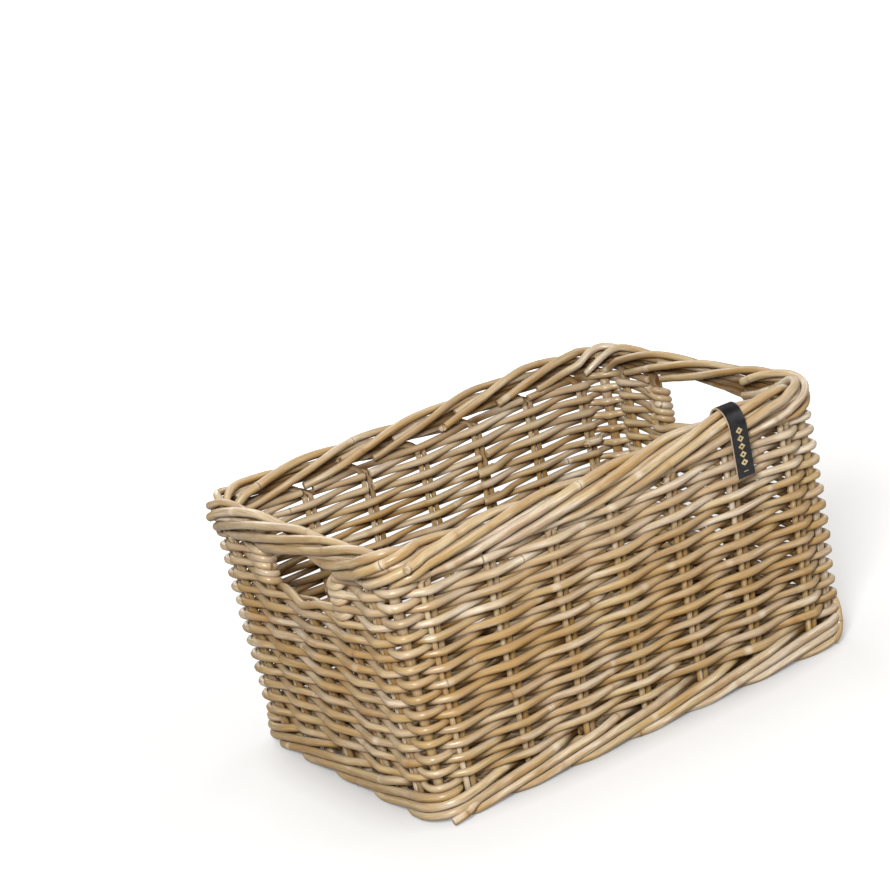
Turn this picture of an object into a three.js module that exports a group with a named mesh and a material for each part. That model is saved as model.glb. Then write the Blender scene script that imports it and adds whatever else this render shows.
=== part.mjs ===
// Rattan bicycle basket: stakes, woven courses with a handle gap in each end, a plaited rim, a foot wale.
// Millimetres, +Z up, front wall at -Y, origin in the middle of the face that it stands on.
import * as THREE from "three";

const { Vector2, Vector3 } = THREE;

// Wall, measured along the middle of its thickness, and up to the underside of the rim
const topLength = 478;
const topDepth = 338;
const baseLength = 467;
const baseDepth = 327;
const wallHeight = 229;
const cornerRadius = 27;

// Rods
const stakeDiameter = 5.6;
const postDiameter = 10;
const weaverDiameter = 7;
const waleDiameter = 7.4;
const rimRodDiameter = 10.4;
const baseRodDiameter = 6.6;
const clearance = 0.3;

// Stakes along the walls, and the handle gap in each end
const longStakes = 7;
const besideCorner = 35;
const handleWidth = 126;
const handleHeight = 44;

// Foot wale: the rise of a rod from stake to stake, and how far inside the wall it crosses to the outside
const waleRods = 4;
const waleRise = 9.4;
const waleCross = 2;
const waleGap = 0.4;
const stakeFoot = 2;

// Plaited rim
const rimRods = 4;
const rimHeight = 36;
const rimOutset = 3;

// Woven base
const baseGap = 4.9;
const baseOverhang = 8;
const stakeBend = 6;
const baseLift = 3;

// Leather tab folded over the rim
const tabWidth = 20;
const tabThickness = 2.2;
const tabStake = 6;
const tabDrop = 24;
const tabTuck = 4;

// Faces of the rods and bends, and the notch between a pair of stakes as a share of their radius
const rodSides = 5;
const waleSides = 6;
const baseSides = 4;
const pairSides = 5;
const pairNotch = 0.45;
const tabFaces = 7;
const rimSteps = 2;
const bendStep = THREE.MathUtils.degToRad(45);
const straightTurn = THREE.MathUtils.degToRad(1.5);
const tautPasses = 12;
const upward = new Vector3(0, 0, 1);

// Radii, and the half height of a rod that lies on one of its flats
const stakeRadius = stakeDiameter / 2;
const postRadius = postDiameter / 2;
const weaverRadius = weaverDiameter / 2;
const flatHalf = (diameter, sides) => (diameter / 2) * Math.cos(Math.PI / sides);
const baseHalf = flatHalf(baseRodDiameter, baseSides);

// Heights, from the lowest rods up
const waleLow = flatHalf(waleDiameter, waleSides);
const waleHigh = waleLow + (waleRods - 1.5) * waleRise;
const baseLevel = baseLift + 2 * baseHalf + clearance + stakeRadius;
const weaveBottom = waleHigh + waleDiameter / 2 + waleGap;
const rimLevel = wallHeight + rimHeight / 2;
const stakeTop = wallHeight - clearance;

// Courses of weaving, as many as fit between the wale and the rim, the upper ones beside the handle gaps
const courseCount = Math.floor((wallHeight - weaveBottom) / (weaverDiameter + clearance));
const coursePitch = (wallHeight - weaveBottom) / courseCount;
const handleCourses = Math.round(handleHeight / coursePitch);
const fullCourses = courseCount - handleCourses;
const courseLevel = (course) => weaveBottom + weaverRadius + course * coursePitch;
const handleSill = courseLevel(fullCourses - 1) + weaverRadius;

// A point on the middle of the wall. A quarter runs from the middle of one corner to the middle of the
// next, the first along the front, and along is measured from the middle of its wall.
function wallPoint(z, quarter, along, outset = 0) {
  const rise = z / wallHeight;
  const halfX = THREE.MathUtils.lerp(baseLength, topLength, rise) / 2;
  const halfY = THREE.MathUtils.lerp(baseDepth, topDepth, rise) / 2;
  const [half, depth] = quarter % 2 ? [halfY, halfX] : [halfX, halfY];
  const straight = half - cornerRadius;
  const past = Math.max(Math.abs(along) - straight, 0);
  const turn = (Math.sign(along) * past) / cornerRadius;
  const out = new Vector2(Math.sin(turn), -Math.cos(turn));
  const centre = new Vector2(THREE.MathUtils.clamp(along, -straight, straight), cornerRadius - depth);
  const point = centre.addScaledVector(out, cornerRadius + outset);
  const origin = new Vector2();
  const angle = (quarter * Math.PI) / 2;
  point.rotateAround(origin, angle);
  out.rotateAround(origin, angle);
  return { point, out, heading: new Vector2(-out.y, out.x) };
}

// How far the middle of a corner lies along its quarter
function cornerAlong(z, quarter) {
  const [base, top] = quarter % 2 ? [baseDepth, topDepth] : [baseLength, topLength];
  return THREE.MathUtils.lerp(base, top, z / wallHeight) / 2 - cornerRadius + (cornerRadius * Math.PI) / 4;
}

// Stakes in the order that a weaver meets them, from the front left corner along the front
const longEnd = topLength / 2 - besideCorner;
const shortEnd = topDepth / 2 - besideCorner;
const handleEdge = handleWidth / 2 + weaverDiameter + clearance + stakeDiameter;
const longPlaces = Array.from({ length: longStakes }, (_, k) => ((2 * k) / (longStakes - 1) - 1) * longEnd);
const shortPlaces = [-shortEnd, -handleEdge, 0, handleEdge, shortEnd];
const stations = [longPlaces, shortPlaces, longPlaces, shortPlaces].flatMap((places, quarter) => [
  { quarter, post: true },
  ...places.map((place) => ({ quarter, place })),
]);
const halfRound = stations.length / 2;

function stationAt(station, z) {
  const { quarter, place, post } = station;
  if (post) return wallPoint(z, quarter, -cornerAlong(z, quarter));
  const [base, top] = quarter % 2 ? [baseDepth, topDepth] : [baseLength, topLength];
  return wallPoint(z, quarter, place * THREE.MathUtils.lerp(base / top, 1, z / wallHeight));
}

// A stake as a peg that a rod goes past: a corner post is one rod, every other stake is a pair
function pegAt(station, z, rodHalf, outside) {
  const { point, heading } = stationAt(station, z);
  const shifts = station.post ? [0] : [-stakeRadius, stakeRadius];
  return {
    centres: shifts.map((shift) => point.clone().addScaledVector(heading, shift)),
    reach: (station.post ? postRadius : stakeRadius) + clearance + rodHalf,
    side: outside ? 1 : -1,
    levels: [z, z],
  };
}

// The point of a rod beside a peg. A peg's side is 1 where the rod keeps the peg on its left.
function beside(peg, heading) {
  const aside = new Vector2(heading.y, -heading.x).multiplyScalar(peg.side);
  const nearest = peg.centres.reduce((best, centre) => (centre.dot(aside) > best.dot(aside) ? centre : best));
  return nearest.clone().addScaledVector(aside, peg.reach);
}

// The straight run that touches two pegs
function runBetween(from, to) {
  let heading = to.centres[0].clone().sub(from.centres[0]).normalize();
  for (let pass = 0; pass < tautPasses; pass += 1) {
    heading = beside(to, heading).sub(beside(from, heading)).normalize();
  }
  return { heading, point: beside(from, heading) };
}

function crossing(first, second) {
  const gap = second.point.clone().sub(first.point);
  const reach = gap.cross(second.heading) / first.heading.cross(second.heading);
  return first.point.clone().addScaledVector(first.heading, reach);
}

// The bends of a rod drawn taut past pegs, each with its height
function bendsPast(pegs, closed) {
  const count = pegs.length;
  const runs = pegs.map((peg, k) => {
    if (!closed && k === count - 1) return null;
    return runBetween(peg, pegs[(k + 1) % count]);
  });
  const bends = [];
  const bendAt = (point, z) => bends.push({ point, z });
  pegs.forEach((peg, k) => {
    const before = runs[(k - 1 + count) % count];
    const after = runs[k];
    if (!before || !after) {
      bendAt(beside(peg, (before ?? after).heading), peg.levels[0]);
      return;
    }
    let turn = Math.atan2(before.heading.cross(after.heading), before.heading.dot(after.heading));
    if (turn * peg.side < -Math.PI / 2) turn += 2 * Math.PI * peg.side;
    if (Math.abs(turn) < straightTurn) return;
    const steps = turn * peg.side > 0 ? Math.ceil(Math.abs(turn) / bendStep) : 1;
    let line = before;
    for (let step = 1; step <= steps; step += 1) {
      const heading = before.heading.clone().rotateAround(new Vector2(), (turn * step) / steps);
      const next = step === steps ? after : { heading, point: beside(peg, heading) };
      const share = steps > 1 ? (step - 1) / (steps - 1) : 0;
      bendAt(crossing(line, next), THREE.MathUtils.lerp(peg.levels[0], peg.levels[1], share));
      line = next;
    }
  });
  return bends;
}

// A rod of one section along its bends, mitred at each. The section's Y lies along across.
function rod(points, section, across, closed = false) {
  const count = points.length;
  const headings = points.map((point, k) => points[(k + 1) % count].clone().sub(point).normalize());
  const vertices = [];
  points.forEach((point, k) => {
    const incoming = headings[closed || k > 0 ? (k - 1 + count) % count : 0];
    const outgoing = headings[closed || k < count - 1 ? k : count - 2];
    const forward = incoming.clone().add(outgoing).normalize();
    const sideways = forward.clone().cross(across).normalize();
    const upright = sideways.clone().cross(forward);
    const bend = outgoing.clone().sub(incoming).normalize();
    const stretch = 1 / forward.dot(outgoing) - 1;
    section.forEach((corner) => {
      const offset = sideways.clone().multiplyScalar(corner.x).addScaledVector(upright, corner.y);
      offset.addScaledVector(bend, offset.dot(bend) * stretch);
      vertices.push(...offset.add(point));
    });
  });
  const sides = section.length;
  const faces = [];
  for (let k = 0; k < (closed ? count : count - 1); k += 1) {
    for (let side = 0; side < sides; side += 1) {
      const a = k * sides + side;
      const b = k * sides + ((side + 1) % sides);
      const c = ((k + 1) % count) * sides + ((side + 1) % sides);
      const d = ((k + 1) % count) * sides + side;
      faces.push(a, c, b, a, d, c);
    }
  }
  if (!closed) {
    const last = (count - 1) * sides;
    THREE.ShapeUtils.triangulateShape(section, []).forEach(([a, b, c]) => {
      faces.push(a, b, c, last + a, last + c, last + b);
    });
  }
  const geometry = new THREE.BufferGeometry();
  geometry.setAttribute("position", new THREE.Float32BufferAttribute(vertices, 3));
  geometry.setIndex(faces);
  geometry.computeVertexNormals();
  return geometry;
}

// Sections: a round rod with a flat below, a pair of stakes side by side, and a strap
function roundSection(diameter, sides = rodSides) {
  return Array.from({ length: sides }, (_, k) => {
    const angle = ((k + 0.5) * 2 * Math.PI) / sides - Math.PI / 2;
    return new Vector2(Math.cos(angle), Math.sin(angle)).multiplyScalar(diameter / 2);
  });
}

function pairSection() {
  const notch = stakeRadius * pairNotch;
  const upper = Array.from({ length: pairSides }, (_, k) => {
    const angle = ((2 * k - 1) * Math.PI) / (pairSides + 1);
    return new Vector2(Math.cos(angle), 1 + Math.sin(angle)).multiplyScalar(stakeRadius);
  });
  const lower = upper.map((corner) => corner.clone().negate());
  return [...upper, new Vector2(-notch, 0), ...lower, new Vector2(notch, 0)];
}

function strapSection() {
  const [x, y] = [tabThickness / 2, tabWidth / 2];
  return [new Vector2(x, -y), new Vector2(x, y), new Vector2(-x, y), new Vector2(-x, -y)];
}

const at = (point, z) => new Vector3(point.x, point.y, z);
function bentRod(bends, section, closed) {
  const line = bends.map(({ point, z }) => at(point, z));
  return rod(line, section, upward, closed);
}

// Colours of the rods, from pale new rattan to weathered brown, and the leather
const finishes = {
  pale: { color: 0xc9b793, roughness: 0.62 },
  straw: { color: 0xbfa26f, roughness: 0.6 },
  tan: { color: 0xa98a5c, roughness: 0.64 },
  grey: { color: 0xb3a48a, roughness: 0.68 },
  brown: { color: 0x8a6f4a, roughness: 0.66 },
  leather: { color: 0x1d1c20, roughness: 0.45 },
};
const weaverTones = ["straw", "tan", "pale", "grey", "straw"];

const basket = new THREE.Group();
function addPiece(name, geometry, finish) {
  const material = new THREE.MeshStandardMaterial({ ...finishes[finish], metalness: 0 });
  const mesh = new THREE.Mesh(geometry, material);
  mesh.name = name;
  basket.add(mesh);
}

// Corner posts and the stake pairs of the ends, from the foot to the rim or the handle sill
const cornerNames = ["front_left", "front_right", "back_right", "back_left"];
function standingStake(station, top, section) {
  const foot = stationAt(station, stakeFoot);
  const head = stationAt(station, top);
  return rod([at(foot.point, stakeFoot), at(head.point, top)], section, at(head.heading, 0));
}
stations.forEach((station) => {
  const { quarter, place, post } = station;
  if (post) {
    const geometry = standingStake(station, stakeTop, roundSection(postDiameter));
    addPiece(`corner_post_${cornerNames[quarter]}`, geometry, "tan");
  } else if (quarter % 2) {
    const order = shortPlaces.indexOf(place);
    const name = quarter === 1 ? `right_${order + 1}` : `left_${shortPlaces.length - order}`;
    const top = place === 0 ? handleSill : stakeTop;
    addPiece(`end_stake_${name}`, standingStake(station, top, pairSection()), "brown");
  }
});

// Cross stakes: each pair runs down the front, under the base and up the back
function crossStake(k) {
  const section = pairSection();
  const front = stations[1 + k];
  const back = stations[halfRound + longStakes - k];
  const cut = stakeBend * (1 - Math.tan(Math.PI / 8));
  const corner = (station) => at(stationAt(station, baseLevel).point, baseLevel);
  const head = (station) => at(stationAt(station, stakeTop).point, stakeTop);
  const toward = (from, to) => from.clone().addScaledVector(to.clone().sub(from).normalize(), cut);
  const [frontCorner, backCorner] = [corner(front), corner(back)];
  const line = [
    head(front),
    toward(frontCorner, head(front)),
    toward(frontCorner, backCorner),
    toward(backCorner, frontCorner),
    toward(backCorner, head(back)),
    head(back),
  ];
  return rod(line, section, new Vector3(1, 0, 0));
}
for (let k = 0; k < longStakes; k += 1) addPiece(`cross_stake_${k + 1}`, crossStake(k), "brown");

// Foot wale: four rods that the basket stands on. Each goes outside three stakes and rises, goes inside the
// fourth, and comes out again below the others.
function waleLevel(passed) {
  return passed === 0 ? waleHigh : Math.min(waleLow + Math.max(passed - 1, 0) * waleRise, waleHigh);
}
function waleRod(row) {
  const pegs = [];
  let stakesBefore = row;
  stations.forEach((station, k) => {
    const passed = (station.post ? stakesBefore + waleRods - 0.5 : stakesBefore) % waleRods;
    pegs.push(pegAt(station, waleLevel(passed), waleDiameter / 2, passed >= 1));
    if (!station.post) stakesBefore += 1;
    const next = stations[(k + 1) % stations.length];
    if (passed === 0 && !next.post) {
      const { quarter, place } = station;
      const { point, out } = stationAt({ quarter, place: (place + next.place) / 2 }, waleLow);
      const centres = [point.clone().addScaledVector(out, -waleCross)];
      pegs.push({ centres, reach: 0, side: 1, levels: [waleLow, waleLow] });
    }
  });
  return bentRod(bendsPast(pegs, true), roundSection(waleDiameter, waleSides), true);
}
for (let row = 0; row < waleRods; row += 1) addPiece(`foot_wale_${row + 1}`, waleRod(row), weaverTones[row]);

// Full courses: over one stake, under the next, and the other way round in the course above
const goesOutside = (index, course) => (index + course) % 2 === 0;
function fullCourse(course) {
  const level = courseLevel(course);
  const pegs = stations.map((station, k) => pegAt(station, level, weaverRadius, goesOutside(k, course)));
  return bentRod(bendsPast(pegs, true), roundSection(weaverDiameter), true);
}
for (let course = 0; course < fullCourses; course += 1) {
  const name = `weaver_course_${String(course + 1).padStart(2, "0")}`;
  addPiece(name, fullCourse(course), weaverTones[course % weaverTones.length]);
}

// Handle courses: one weaver works to and fro between the two handle gaps and turns round their edge stakes
function handleWeaver(firstStation, stationCount) {
  const order = Array.from({ length: stationCount }, (_, k) => (firstStation + k) % stations.length);
  const pegs = [];
  for (let row = 0; row < handleCourses; row += 1) {
    const course = fullCourses + row;
    const level = courseLevel(course);
    const back = row % 2 === 1;
    const way = back ? [...order].reverse() : order;
    if (row > 0) pegs.at(-1).levels[1] = level;
    way.slice(row > 0 ? 1 : 0).forEach((index) => {
      pegs.push(pegAt(stations[index], level, weaverRadius, goesOutside(index, course) !== back));
    });
  }
  return bentRod(bendsPast(pegs, false), roundSection(weaverDiameter), false);
}
const wrappedStakes = shortPlaces.filter((place) => place > 0).length;
const wovenStations = longStakes + cornerNames.length / 2 + 2 * wrappedStakes;
addPiece("handle_weaver_front", handleWeaver(stations.length - wrappedStakes, wovenStations), "pale");
addPiece("handle_weaver_back", handleWeaver(halfRound - wrappedStakes, wovenStations), "straw");

// Plaited rim: four rods that change places round its middle, one of them under the rim at each stake
const rimSpread = 2 * Math.sin(Math.PI / rimRods) * Math.cos(Math.PI / (rimSteps * rimRods));
const rimSwing = (rimRodDiameter + clearance) / rimSpread;
const rimRise = rimHeight / 2 - flatHalf(rimRodDiameter, rodSides);
const rimTurns = Math.round(stations.length / rimRods);
function rimRod(index) {
  const bends = [];
  stations.forEach((station, k) => {
    const next = stations[(k + 1) % stations.length];
    const from = station.post ? -cornerAlong(wallHeight, station.quarter) : station.place;
    const to = next.post ? cornerAlong(wallHeight, station.quarter) : next.place;
    for (let step = 0; step < rimSteps; step += 1) {
      const share = step / rimSteps;
      const turn = 2 * Math.PI * ((rimTurns * (k + share)) / stations.length + index / rimRods) - Math.PI / 2;
      const along = THREE.MathUtils.lerp(from, to, share);
      const outset = rimOutset + rimSwing * Math.cos(turn);
      const { point } = wallPoint(wallHeight, station.quarter, along, outset);
      bends.push({ point, z: rimLevel + rimRise * Math.sin(turn) });
    }
  });
  return bentRod(bends, roundSection(rimRodDiameter), true);
}
for (let index = 0; index < rimRods; index += 1) {
  addPiece(`rim_rod_${index + 1}`, rimRod(index), weaverTones[index]);
}

// Base weaver: one rod to and fro between the ends, over and under the cross stakes
function baseWeaver() {
  const pitch = baseRodDiameter + baseGap;
  const halfWidth = -wallPoint(baseLevel, 0, 0).point.y;
  const room = halfWidth - postRadius - waleDiameter - 2 * clearance - baseRodDiameter / 2;
  const rows = 2 * Math.floor(room / pitch) + 1;
  const crossings = longPlaces.map((_, k) => stationAt(stations[1 + k], baseLevel).point.x);
  const end = crossings.at(-1) + stakeDiameter + baseOverhang;
  const peg = (places, reach, side) => ({
    centres: places.map((x) => new Vector2(x, baseLevel)),
    reach,
    side,
    levels: [0, 0],
  });
  const line = [];
  for (let row = 0; row < rows; row += 1) {
    const y = (row - (rows - 1) / 2) * pitch;
    const pairs = crossings.map((x, k) =>
      peg([x - stakeRadius, x + stakeRadius], stakeRadius + clearance + baseHalf, (k + row) % 2 ? 1 : -1),
    );
    const pegs = [peg([-end], 0, 1), ...pairs, peg([end], 0, 1)];
    const pass = bendsPast(pegs, false).map(({ point }) => new Vector3(point.x, y, point.y));
    line.push(...(row % 2 ? pass.reverse() : pass));
  }
  return rod(line, roundSection(baseRodDiameter, baseSides), upward);
}
addPiece("base_weaver", baseWeaver(), "tan");

// Leather tab: a strap over the rim at one stake, its long end outside
function rimTab() {
  const { point, out, heading } = stationAt(stations[tabStake], wallHeight);
  const reach = rimRodDiameter / 2 + clearance + tabThickness / 2;
  const faces = Array.from({ length: tabFaces }, (_, k) => {
    const angle = (k * Math.PI) / (tabFaces - 1);
    const side = new Vector2(Math.cos(angle), Math.sin(angle));
    const distance = Math.hypot(rimSwing * side.x, rimRise * side.y) + reach;
    return { point: side.clone().multiplyScalar(distance), heading: new Vector2(-side.y, side.x) };
  });
  const folds = faces.slice(1).map((face, k) => crossing(faces[k], face));
  const outer = new Vector2(folds[0].x, -rimHeight / 2 - tabDrop);
  const inner = new Vector2(folds.at(-1).x, -rimHeight / 2 + tabTuck);
  const line = [outer, ...folds, inner].map(({ x, y }) =>
    at(point.clone().addScaledVector(out, rimOutset + x), rimLevel + y),
  );
  return rod(line, strapSection(), at(heading, 0));
}
addPiece("rim_tab", rimTab(), "leather");

export default basket;
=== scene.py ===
import math
import random
from bisect import bisect_left

import bmesh
import bpy
from mathutils import Matrix, Vector, noise


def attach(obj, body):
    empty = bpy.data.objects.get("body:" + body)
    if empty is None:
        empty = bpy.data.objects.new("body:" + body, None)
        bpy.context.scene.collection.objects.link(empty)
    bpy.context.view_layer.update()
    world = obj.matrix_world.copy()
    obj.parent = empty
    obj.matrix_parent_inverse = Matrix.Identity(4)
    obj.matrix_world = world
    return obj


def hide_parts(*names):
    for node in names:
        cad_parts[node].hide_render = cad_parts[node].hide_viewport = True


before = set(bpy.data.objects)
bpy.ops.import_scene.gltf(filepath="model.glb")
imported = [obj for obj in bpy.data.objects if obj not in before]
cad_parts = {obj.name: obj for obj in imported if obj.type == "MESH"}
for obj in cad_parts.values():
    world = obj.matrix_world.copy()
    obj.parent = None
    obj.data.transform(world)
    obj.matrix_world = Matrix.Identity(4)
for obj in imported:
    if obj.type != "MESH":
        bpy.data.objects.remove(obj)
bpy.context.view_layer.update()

scene = bpy.context.scene
print("frame loaded:", len(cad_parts), "nodes")

# the wall, along the middle of its thickness
wall = {
    "topLength": 0.478, "topDepth": 0.338, "baseLength": 0.467, "baseDepth": 0.327, "height": 0.229,
    "cornerRadius": 0.027, "longEnd": 0.204, "shortEnd": 0.134, "handleEdge": 0.0759, "longStakes": 7,
    "spanHeight": 0.1, "nearlyNext": 0.999,
}

# heights and numbers of the rods, as in the frame's solids
levels = {"base": 0.01077, "weaveBottom": 0.0308, "courses": 27, "handleCourses": 6}
levels["pitch"] = (wall["height"] - levels["weaveBottom"]) / levels["courses"]
levels["fullCourses"] = levels["courses"] - levels["handleCourses"]

stakeSize = {"radius": 0.0028, "post": 0.0050}


def lerp(a, b, share):
    return a + (b - a) * share


def ease(share):
    share = min(max(share, 0), 1)
    return share * share * (3 - 2 * share)


def easeFrom(value, start, width):
    return ease((value - start) / width)


def meanOf(values):
    return sum(values) / len(values)


# between two stakes a weaver runs nearly straight, with a short bend at each stake
def taut(share, bend=0.16):
    return meanOf([min(max(share + shift * bend, 0), 1) for shift in (-1, -0.6, -0.2, 0.2, 0.6, 1)])


# the mean of a function's values round a place, which rounds its corners off
def softened(value, at, reach):
    return meanOf([value(at + shift * reach) for shift in (-1, -0.5, 0, 0.5, 1)])


def bell(gap, width):
    return math.exp(-((gap / width) ** 2))


# where a value lies in a rising row: the index before it, and its share of the way to the next
def placeIn(row, value):
    k = min(max(bisect_left(row, value), 1), len(row) - 1)
    return k - 1, (value - row[k - 1]) / (row[k] - row[k - 1])


def sideSize(z, quarter):
    rise = min(z / wall["height"], 1)
    long = lerp(wall["baseLength"], wall["topLength"], rise) / 2
    short = lerp(wall["baseDepth"], wall["topDepth"], rise) / 2
    return (short, long) if quarter % 2 else (long, short)


def wallPoint(z, quarter, along, outset=0.0):
    half, depth = sideSize(z, quarter)
    radius = wall["cornerRadius"]
    straight = half - radius
    past = max(abs(along) - straight, 0)
    turn = math.copysign(past / radius, along)
    out = Vector((math.sin(turn), -math.cos(turn), 0))
    centre = Vector((min(max(along, -straight), straight), radius - depth, 0))
    point = centre + out * (radius + outset)
    spin = Matrix.Rotation(quarter * math.pi / 2, 3, "Z")
    point = spin @ point
    out = spin @ out
    point.z = z
    return point, out, Vector((-out.y, out.x, 0))


def cornerAlong(z, quarter):
    return sideSize(z, quarter)[0] - wall["cornerRadius"] * (1 - math.pi / 4)


# stakes in the order that a weaver meets them, from the front left post along the front
longPlaces = [wall["longEnd"] * (k * 2 / (wall["longStakes"] - 1) - 1) for k in range(wall["longStakes"])]
shortPlaces = [-wall["shortEnd"], -wall["handleEdge"], 0, wall["handleEdge"], wall["shortEnd"]]
stations = []
for quarter, places in enumerate((longPlaces, shortPlaces, longPlaces, shortPlaces)):
    stations.append({"quarter": quarter, "post": True, "place": 0})
    stations += [{"quarter": quarter, "post": False, "place": place} for place in places]
rounds = len(stations)


def placeShrink(z, quarter):
    rise = min(z / wall["height"], 1)
    foot, top = ("baseDepth", "topDepth") if quarter % 2 else ("baseLength", "topLength")
    return lerp(wall[foot] / wall[top], 1, rise)


def spot(s, z, outset=0.0):
    # s counts stakes round the wall, and its fraction lies between two of them
    index = math.floor(s)
    share = s - index
    here = stations[index % rounds]
    after = stations[(index + 1) % rounds]
    quarter = here["quarter"]
    shrink = placeShrink(z, quarter)
    start = -cornerAlong(z, quarter) if here["post"] else here["place"] * shrink
    end = cornerAlong(z, quarter) if after["post"] else after["place"] * shrink
    return wallPoint(z, quarter, lerp(start, end, share), outset)


def spanLength(index):
    here, there = (spot(s, wall["spanHeight"])[0] for s in (index, index + wall["nearlyNext"]))
    return (here - there).length


spans = [spanLength(k) for k in range(rounds)]


def stakeHalf(index):
    return stakeSize["post"] if stations[index % rounds]["post"] else stakeSize["radius"]


# a slow swell that neighbouring courses share, so that the rows wander together
slow = {"size": 0.0015, "rate": Vector((7, 7, 5)), "shift": Vector((0, 3, 0))}


def swell(point):
    return slow["size"] * noise.noise(point * slow["rate"] + slow["shift"])


# The right end stands a little taller and fuller than the left, as woven by hand
# (each pair of numbers: where it starts, and how far it takes to come in)
handmade = {
    "lift": 0.0078, "liftAlong": (-0.02, 0.16), "liftUp": (0.04, 0.19), "dip": 0.45,
    "dipAlong": (0.17, 0.05), "dipBack": (-0.14, 0.12), "bulge": 0.0032, "bulgeAlong": (0.10, 0.12),
    "bulgeDepth": 0.12, "bulgeHeight": 0.25, "bulgeForward": -0.4,
}


def settle(point):
    lift = handmade["lift"] * easeFrom(point.x, *handmade["liftAlong"])
    lift *= easeFrom(point.z, *handmade["liftUp"])
    dip = handmade["dip"] * easeFrom(point.x, *handmade["dipAlong"])
    lift *= 1 - dip * easeFrom(point.y, *handmade["dipBack"])
    bulge = handmade["bulge"] * easeFrom(point.x, *handmade["bulgeAlong"])
    bulge *= ease(0.5 - point.y / handmade["bulgeDepth"])
    bulge *= math.sin(math.pi * min(max(point.z / handmade["bulgeHeight"], 0), 1))
    return point + Vector((bulge, handmade["bulgeForward"] * bulge, lift))


finishNames = ["rattan_pale", "rattan_straw", "rattan_tan", "rattan_grey", "rattan_brown"]
# finish names handed in turn to pieces that follow each other
slotOrder = ["rattan_straw", "rattan_tan", "rattan_pale", "rattan_grey", "rattan_straw"]
seeds = {"tones": 40, "courses": 100, "stakes": 500, "crossing": 600, "handles": 701, "rim": 800, "foot": 900,
         "base": 950}
# how often each finish comes up
mixes = {
    "weaver": [3, 6, 6, 3, 2],
    "edge": [6, 5, 3, 5, 1],
    "rim": [6, 4, 1, 6, 0],
    "base": [1, 3, 5, 2, 3],
}

rodSkin = {
    "step": 0.0032,       # length between rings
    "bevelSteps": 4, "firstKnot": 0.02, "knotGap": (0.13, 0.26), "knotFaint": (0, 0, 0.0003, 0.0016),
    "knotSwell": 0.055, "knotWidth": 0.0022, "taper": 0.06, "lumps": 0.05, "lumpRate": 38,
    "wander": 0.0008, "wanderRate": 15, "kink": 0.0003, "kinkRate": 52, "merge": 0.000002,
    "seeds": 90, "starts": 5, "lanes": (4, 8, 12), "kinkLane": 16,
    "atEnd": 1e-6, "onStake": 1e-9, "crease": math.radians(55),
}

weaver = {
    "radius": 0.0042, "range": (0.88, 1.05), "slim": 0.85, "slimRate": 1.15,
    "paleRows": (5, 2),   # at the foot, and below the handle weavers
    # cover and shade: painted shade on the side that faces what covers a weaver, and on all of it
    "cover": 125, "shade": 0.08, "tuckBack": 0.010, "tuckPast": 0.013, "rideIn": 0.0062,
    "rideFrom": -0.55, "rideWidth": 0.5, "cutSteps": (8, 10, 10, 12),
    "shortest": 7,        # fewest stakes from the last cut to the first
}


# A rod from its middle line: knots, taper and lumps in its radius, and square cut ends
def makeRod(line, radius, rng, mix="weaver", squeeze=None, finish=None, wander=1.0, cover=None, shade=0.0,
            tone=None):
    runs = [0.0]
    for before, after in zip(line, line[1:]):
        runs.append(runs[-1] + (after - before).length)
    total = runs[-1]
    if finish is None:
        finish = rng.choices(range(len(finishNames)), weights=mixes[mix])[0]
    knots = []
    at = rng.uniform(rodSkin["firstKnot"], rodSkin["knotGap"][0])
    while at < total:
        knots.append((at, rng.choice(rodSkin["knotFaint"])))
        at += rng.uniform(*rodSkin["knotGap"])
    lean = rng.choice((-1, 1)) * rodSkin["taper"]
    seed = rng.uniform(0, rodSkin["seeds"])

    def noiseAlong(run, rate, lane):
        return noise.noise(Vector((run * rate, seed, lane)))

    points = []
    for k, (place, run) in enumerate(zip(line, runs)):
        nearest, faint = min(knots, key=lambda knot: abs(knot[0] - run)) if knots else (run + 1, 0)
        gap = abs(run - nearest) + faint
        size = 1 + lean * (run / total - 0.5) * 2
        size += rodSkin["knotSwell"] * bell(gap, rodSkin["knotWidth"])
        size += rodSkin["lumps"] * noiseAlong(run, rodSkin["lumpRate"], 0)
        if squeeze:
            size *= squeeze[k]
        shift = Vector([noiseAlong(run, rodSkin["wanderRate"], lane) for lane in rodSkin["lanes"]])
        shift *= rodSkin["wander"] * wander
        shift.z += rodSkin["kink"] * wander * noiseAlong(run, rodSkin["kinkRate"], rodSkin["kinkLane"])
        points.append([settle(place + shift), radius * size, gap, run, cover[k] if cover else Vector()])
    tint = [rng.random(), rng.random(), rng.random()]
    if tone is not None:
        tint[:2] = [tone, 0.0]
    return {"points": capEnds(points), "finish": finish, "tint": tint, "shade": shade,
            "start": rng.uniform(0, rodSkin["starts"])}


# a cut end: depth along the rod and share of its radius
cutEnd = [(0.0, 0.0), (0.00003, 0.5), (0.00006, 0.9), (0.0006, 1.0)]


def capEnds(points):
    def capped(tip, inner):
        heading = (inner[0] - tip[0]).normalized()
        return [[tip[0] + heading * depth, tip[1] * share, *tip[2:]] for depth, share in cutEnd]
    head = capped(points[0], points[1])
    tail = capped(points[-1], points[-2])
    return head + points[1:-1] + tail[::-1]


def added(name, data):
    made = bpy.data.objects.new(name, data)
    scene.collection.objects.link(made)
    return made


def setAll(owner, **values):
    for key, value in values.items():
        setattr(owner, key, value)


# a mesh as the piece that stands for its nodes
def pieceOf(mesh, slot, nodes):
    piece = added(mesh.name, mesh)
    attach(piece, "root")
    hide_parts(*nodes)
    return piece
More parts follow.
